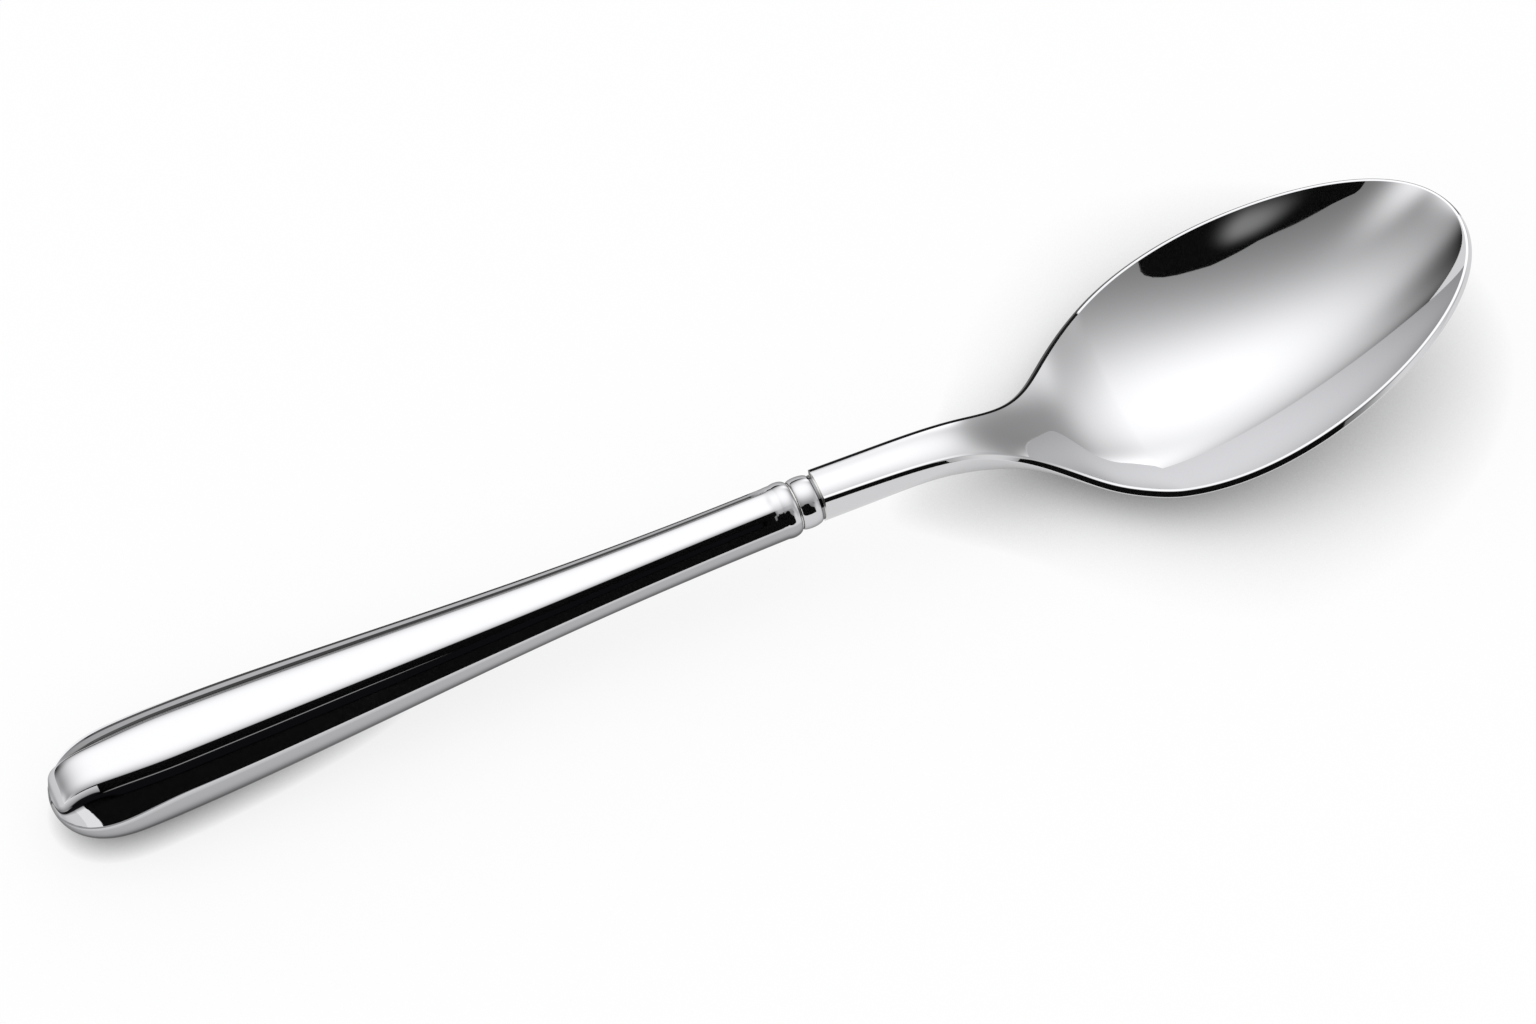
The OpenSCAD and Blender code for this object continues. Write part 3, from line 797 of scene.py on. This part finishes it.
class Graph:
    """A node tree with short ways to add to it. Each input is a value or a socket."""

    def __init__(self, tree):
        self.tree = tree

    def feed(self, socket, value):
        if isinstance(value, bpy.types.NodeSocket):
            self.tree.links.new(value, socket)
        else:
            socket.default_value = value

    def add(self, kind, inputs=(), **settings):
        """A node with its settings and its named or numbered inputs."""
        made = self.tree.nodes.new("ShaderNode" + kind)
        for name, value in settings.items():
            setattr(made, name, value)
        for name, value in dict(inputs).items():
            self.feed(made.inputs[name], value)
        return made

    def calc(self, operation, *values):
        """The result of one sum."""
        return self.add("Math", enumerate(values), operation=operation).outputs["Value"]

    def spread(self, value, old, new):
        """The value, carried from the old range to the new one."""
        return self.add("MapRange", {
            "Value": value, "From Min": old[0], "From Max": old[1],
            "To Min": new[0], "To Max": new[1]}).outputs["Result"]

    def place(self, kind="Object"):
        """The x, y and z of each place."""
        at = self.add("TexCoord").outputs[kind]
        return self.add("SeparateXYZ", {"Vector": at}).outputs

    def grain(self, **values):
        """A noise over the piece."""
        at = self.add("TexCoord").outputs["Object"]
        return self.add("TexNoise", {"Vector": at, **values}).outputs["Fac"]

    def bump(self, height, strength, distance):
        return self.add("Bump", {
            "Height": height, "Strength": strength, "Distance": distance}).outputs["Normal"]

    def show_mixed(self, share, one, other):
        """Shows the mix of two shaders."""
        both = self.add("MixShader", enumerate((share, one.outputs[0], other.outputs[0])))
        self.feed(self.tree.nodes["Material Output"].inputs["Surface"], both.outputs[0])


def new_material(name, colour, roughness, metallic):
    """The material, its graph and its shader."""
    material = bpy.data.materials.new(name)
    material.use_nodes = True
    shader = material.node_tree.nodes["Principled BSDF"]
    shader.inputs["Base Color"].default_value = (*colour, 1)
    shader.inputs["Roughness"].default_value = roughness
    shader.inputs["Metallic"].default_value = metallic
    return material, Graph(material.node_tree), shader


def steel(part="handle"):
    """Mirror polished stainless steel of the handle or of the head, with a faint haze. The dark
    layer paints shade and dark reflections on it, darkening or blackening it."""
    name = "Polished steel of the " + part
    if name in bpy.data.materials:
        return bpy.data.materials[name]
    s = bpy.context.scene.spoon_steel
    colour, edge_tint = s.colour, s.edge_tint
    if part == "head":
        colour, edge_tint = s.head_colour, s.head_edge_tint
    material, graph, shader = new_material(name, colour, 0.02, 1.0)
    shader.inputs["Specular Tint"].default_value = (edge_tint, edge_tint, edge_tint, 1)
    shader.inputs["Specular IOR Level"].default_value = 0.05
    haze = graph.grain(Scale=90.0, Detail=3.0, Roughness=0.6)
    gloss = graph.spread(haze, HAZE_RANGE, (s.gloss_low, s.gloss_high))
    graph.feed(shader.inputs["Roughness"], gloss)
    # Painted shade and dark reflections come from the dark layer
    dark = graph.add("Attribute", attribute_name="dark").outputs["Fac"]
    shade = graph.add("ValToRGB", {"Fac": dark})
    shaded = [mix(c, black, SHADED_TO) for c, black in zip(colour, PAINTED_BLACK)]
    stops = shade.color_ramp.elements
    stops[0].position, stops[0].color = 0.0, (*colour, 1)
    stops[1].position, stops[1].color = BLACK_FROM, (*PAINTED_BLACK, 1)
    stops.new(SHADED_TO).color = (*shaded, 1)
    graph.feed(shader.inputs["Base Color"], shade.outputs["Color"])
    bare = graph.spread(dark, (BLACK_FROM, NO_METAL_FROM), (1.0, 0.0))
    graph.feed(shader.inputs["Metallic"], bare)
    return material


def solder_metal():
    """Bright silver solder, softer in gloss than the steel."""
    material, graph, shader = new_material("Silver solder", (0.62, 0.62, 0.60), 0.3, 1.0)
    height = graph.grain(Scale=1800.0, Detail=4.0)
    graph.feed(shader.inputs["Normal"], graph.bump(height, strength=0.2, distance=0.00005))
    return material


def tang_filler():
    """Hard, chalky cement."""
    material, graph, shader = new_material("Handle cement", (0.72, 0.68, 0.60), 0.9, 0.0)
    grit = graph.grain(Scale=1500.0, Detail=6.0)
    tones = graph.add("ValToRGB", {"Fac": grit})
    tones.color_ramp.elements[0].color = (0.60, 0.56, 0.49, 1)
    tones.color_ramp.elements[1].color = (0.78, 0.74, 0.66, 1)
    graph.feed(shader.inputs["Base Color"], tones.outputs["Color"])
    graph.feed(shader.inputs["Normal"], graph.bump(grit, strength=0.5, distance=0.0001))
    return material


class SPOON_OT_fillings(bpy.types.Operator):
    """Gives the solder and the cement their materials"""

    bl_idname = "spoon.fillings"
    bl_label = "Solder and cement"

    def execute(self, context):
        solder, cement = solder_metal(), tang_filler()
        for node, material in (
                ("collar_solder", solder), ("seam_solder", solder), ("tang_cement", cement)):
            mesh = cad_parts[node].data
            mesh.materials.clear()
            mesh.materials.append(material)
        return {"FINISHED"}


# Studio

PICTURE_W, SENSOR_W = 1536, 36
FLOOR_HALF, FLOOR_CELLS = 20, 8
# The floor's contact shadow: places along X between which its reach grows, and the reach there
CONTACT_X, CONTACT_REACH, CONTACT_SAMPLES = (0.0, 0.06), (0.0036, 0.02), 6
# The flag and the card stand across the front. Their outlines are in millimetres, along and up.
FLAG_Y = -300
FLAG_OUTLINE = [
    (76, 300), (73, 318), (62, 334), (44, 346), (20, 351), (-36, 351), (-60, 340), (-87, 325),
    (-112, 307), (-146, 299), (-180, 296), (-215, 287), (-259, 275), (-300, 272), (-338, 272),
    (-352, 262), (-352, 240), (-345, 200), (-338, 170), (-284, 60), (-276, 0), (140, 0),
    (140, 140), (90, 190), (72, 262),
]
CARD_OUTLINE = [(-276, 0), (-284, 60), (-330, 170), (-800, 170), (-800, 0)]
CARD_GLOW = 1.2
# The spot's place and radius in millimetres, its spread to the left, right and up in metres, and
# its strength
SPOT_AT, SPOT_R, SPOT_CELLS = (42, -60, 66), 20, 32
SPOT_SPREAD, SPOT_GLOW = (0.006, 0.003, 0.006), 0.3
# Light beside the soft lights, the least from anywhere, and the even share on diffuse surfaces
AMBIENT, LEAST_LIGHT, EVEN_SHARE = 0.22, 0.02, 0.7
LOBE_POWER = 1.3
# Soft lights by degrees from overhead towards +X and towards +Y: place, spread to the left, to the
# right and in depth, and strength. A negative one is a darker patch.
SOFT_LIGHTS = [
    (8, 28, 44, 34, 38, 1.45),
    (50, 70, 20, 36, 9, 1.1),
    (-55, 66, 16, 16, 14, -0.4),
    (-78, -17, 20, 16, 10, 1.0),
    (74, -10, 14, 20, 16, 0.8),
    (45, -75, 12, 40, 30, 0.8),
    (20, 96, 50, 50, 12, -1.0),
    (-86, 20, 12, 10, 25, 0.8),
]


def lobe(calc, x, y, at_x, at_y, left_w, right_w, depth_w):
    """A soft round patch with a flat middle, 1 at its centre."""
    dx, dy = calc("SUBTRACT", x, at_x), calc("SUBTRACT", y, at_y)
    width = calc("ADD", left_w, calc("MULTIPLY", calc("GREATER_THAN", dx, 0.0), right_w - left_w))
    gx, gy = calc("DIVIDE", dx, width), calc("DIVIDE", dy, depth_w)
    far = calc("MULTIPLY", calc("ADD", calc("MULTIPLY", gx, gx), calc("MULTIPLY", gy, gy)), 0.5)
    return calc("EXPONENT", calc("MULTIPLY", calc("POWER", far, LOBE_POWER), -1.0))


def sheet(outline):
    """A flat sheet across the front."""
    bm = bmesh.new()
    bm.faces.new([bm.verts.new((x * MM, FLAG_Y * MM, z * MM)) for x, z in outline])
    return bm


def studio_piece(name, bm, material, only_mirrored=True):
    """The mesh as a piece of the studio, mostly only for the spoon to mirror."""
    mesh = bpy.data.meshes.new(name)
    bm.to_mesh(mesh)
    bm.free()
    mesh.materials.append(material)
    piece = bpy.data.objects.new(name, mesh)
    bpy.context.scene.collection.objects.link(piece)
    if only_mirrored:
        piece.visible_camera = piece.visible_diffuse = piece.visible_shadow = False
    return piece


class SPOON_OT_studio(bpy.types.Operator):
    """Sets the camera, the floor and the light"""

    bl_idname = "spoon.studio"
    bl_label = "Studio"

    def execute(self, context):
        s = context.scene.spoon_studio
        self.camera(context, s)
        self.floor(s)
        self.flag()
        self.card()
        self.spot()
        self.surround(context)
        context.scene.view_settings.view_transform = "Standard"
        return {"FINISHED"}

    def camera(self, context, s):
        """The photo's camera, from its angles, distance and focal length."""
        data = bpy.data.cameras.new("view")
        data.sensor_width = SENSOR_W
        data.lens = s.camera_focus / PICTURE_W * SENSOR_W
        data.clip_start, data.clip_end = 0.01, 50
        camera = bpy.data.objects.new("view", data)
        context.scene.collection.objects.link(camera)
        phi, e, rho = s.camera_azimuth, s.camera_elevation, s.camera_roll
        back = Vector((-math.sin(phi) * math.cos(e), -math.cos(phi) * math.cos(e), math.sin(e)))
        right = (-back).cross(Vector((0, 0, 1))).normalized()
        up = right.cross(-back)
        across = right * math.cos(rho) + up * math.sin(rho)
        upward = up * math.cos(rho) - right * math.sin(rho)
        place = Vector(s.target) + back * s.camera_distance
        camera.matrix_world = Matrix((
            (across.x, upward.x, back.x, place.x), (across.y, upward.y, back.y, place.y),
            (across.z, upward.z, back.z, place.z), (0, 0, 0, 1)))
        context.scene.camera = camera

    def floor(self, s):
        """A matt pale floor, which is seen mostly by its own glow, with a contact shadow."""
        material, graph, shader = new_material("Pale floor", s.floor_colour, 0.9, 0.0)
        shader.inputs["Specular IOR Level"].default_value = 0.0
        calc = graph.calc
        path = graph.add("LightPath").outputs
        seen = calc("ADD", calc("ADD", path["Is Camera Ray"], path["Is Glossy Ray"]),
                    path["Is Transmission Ray"])
        share = calc("MULTIPLY", calc("MINIMUM", seen, 1.0), s.floor_lift)
        reach = graph.spread(graph.place()["X"], CONTACT_X, CONTACT_REACH)
        contact = graph.add("AmbientOcclusion", {"Distance": reach}, samples=CONTACT_SAMPLES)
        glow = graph.add("Emission", {"Strength": contact.outputs["AO"]})
        graph.show_mixed(share, shader, glow)
        bm = bmesh.new()
        bmesh.ops.create_grid(bm, x_segments=FLOOR_CELLS, y_segments=FLOOR_CELLS, size=FLOOR_HALF)
        floor = studio_piece("floor", bm, material, only_mirrored=False)

    def flag(self):
        """A black flag that stands in front of the spoon."""
        material, _, shader = new_material("Black cloth", (0.006, 0.006, 0.006), 1.0, 0.0)
        shader.inputs["Specular IOR Level"].default_value = 0.0
        flag = studio_piece("flag", sheet(FLAG_OUTLINE), material)

    def card(self):
        """A white card beside the flag, for the butt's reflections."""
        material, _, shader = new_material("White card", (0, 0, 0), 1.0, 0.0)
        shader.inputs["Emission Color"].default_value = (1, 1, 1, 1)
        shader.inputs["Emission Strength"].default_value = CARD_GLOW
        card = studio_piece("card", sheet(CARD_OUTLINE), material)

    def spot(self):
        """A dim round glow in front of the flag, which only the bowl mirrors."""
        material, graph, _ = new_material("Spot glow", (0, 0, 0), 1.0, 0.0)
        at = graph.place()
        glow = lobe(graph.calc, at["X"], at["Z"], SPOT_AT[0] * MM, SPOT_AT[2] * MM, *SPOT_SPREAD)
        graph.show_mixed(glow, graph.add("BsdfTransparent"),
                         graph.add("Emission", {"Strength": SPOT_GLOW}))
        bm = bmesh.new()
        bmesh.ops.create_circle(bm, cap_ends=True, segments=SPOT_CELLS, radius=SPOT_R * MM)
        for v in bm.verts:
            v.co = Vector(SPOT_AT) * MM + Vector((v.co.x, 0, v.co.y))
        spot = studio_piece("spot", bm, material)

    def surround(self, context):
        """A wide soft light overhead, towards the back, with weaker ones near the horizon. The
        camera sees white instead, and diffuse surfaces mostly do."""
        world = bpy.data.worlds.new("studio")
        context.scene.world = world
        world.use_nodes = True
        graph = Graph(world.node_tree)
        calc = graph.calc
        at = graph.place("Generated")
        x, y, z = (at[c] for c in "XYZ")
        # Degrees from overhead, towards +X and towards +Y
        flat = calc("SQRT", calc("ADD", calc("MULTIPLY", x, x), calc("MULTIPLY", y, y)))
        turn = calc("DIVIDE", calc("DEGREES", calc("ARCCOSINE", z)), calc("MAXIMUM", flat, 1e-5))
        right, back = calc("MULTIPLY", x, turn), calc("MULTIPLY", y, turn)
        sky = AMBIENT
        for *place_and_spread, strength in SOFT_LIGHTS:
            one = lobe(calc, right, back, *place_and_spread)
            sky = calc("ADD", sky, calc("MULTIPLY", one, strength))
        sky = calc("MAXIMUM", sky, LEAST_LIGHT)
        path = graph.add("LightPath").outputs
        even = calc("ADD", path["Is Camera Ray"],
                    calc("MULTIPLY", path["Is Diffuse Ray"], EVEN_SHARE))
        even = calc("MINIMUM", even, 1.0)
        level = calc("ADD", even, calc("MULTIPLY", sky, calc("SUBTRACT", 1.0, even)))
        background = world.node_tree.nodes["Background"]
        background.inputs["Color"].default_value = (1, 1, 1, 1)
        graph.feed(background.inputs["Strength"], level)


class SPOON_PT_panel(bpy.types.Panel):
    """The spoon's sizes and steps"""

    bl_idname = "SPOON_PT_panel"
    bl_label = "Soup spoon"
    bl_space_type = "VIEW_3D"
    bl_region_type = "UI"
    bl_category = "Spoon"

    def draw(self, context):
        layout = self.layout
        for name in ("spoon_bowl", "spoon_handle", "spoon_collar", "spoon_steel", "spoon_studio"):
            group = getattr(context.scene, name)
            box = layout.box()
            box.label(text=type(group).__doc__.rstrip("."))
            for prop in group.bl_rna.properties:
                if prop.type == "FLOAT":
                    box.prop(group, prop.identifier)
        for step in STEPS:
            layout.operator(step.bl_idname)


SETTINGS = {
    "spoon_bowl": BowlSettings, "spoon_handle": HandleSettings, "spoon_collar": CollarSettings,
    "spoon_steel": SteelSettings, "spoon_studio": StudioSettings,
}
STEPS = [SPOON_OT_studio, SPOON_OT_head, SPOON_OT_handle, SPOON_OT_collar, SPOON_OT_fillings]


def register():
    for cls in [*SETTINGS.values(), *STEPS, SPOON_PT_panel]:
        bpy.utils.register_class(cls)
    for name, cls in SETTINGS.items():
        setattr(bpy.types.Scene, name, bpy.props.PointerProperty(type=cls))


def unregister():
    for name in SETTINGS:
        delattr(bpy.types.Scene, name)
    for cls in reversed([*SETTINGS.values(), *STEPS, SPOON_PT_panel]):
        bpy.utils.unregister_class(cls)


def main():
    register()
    bpy.ops.spoon.studio()
    bpy.ops.spoon.head()
    bpy.ops.spoon.handle()
    bpy.ops.spoon.collar()
    bpy.ops.spoon.fillings()


if __name__ == "__main__":
    main()
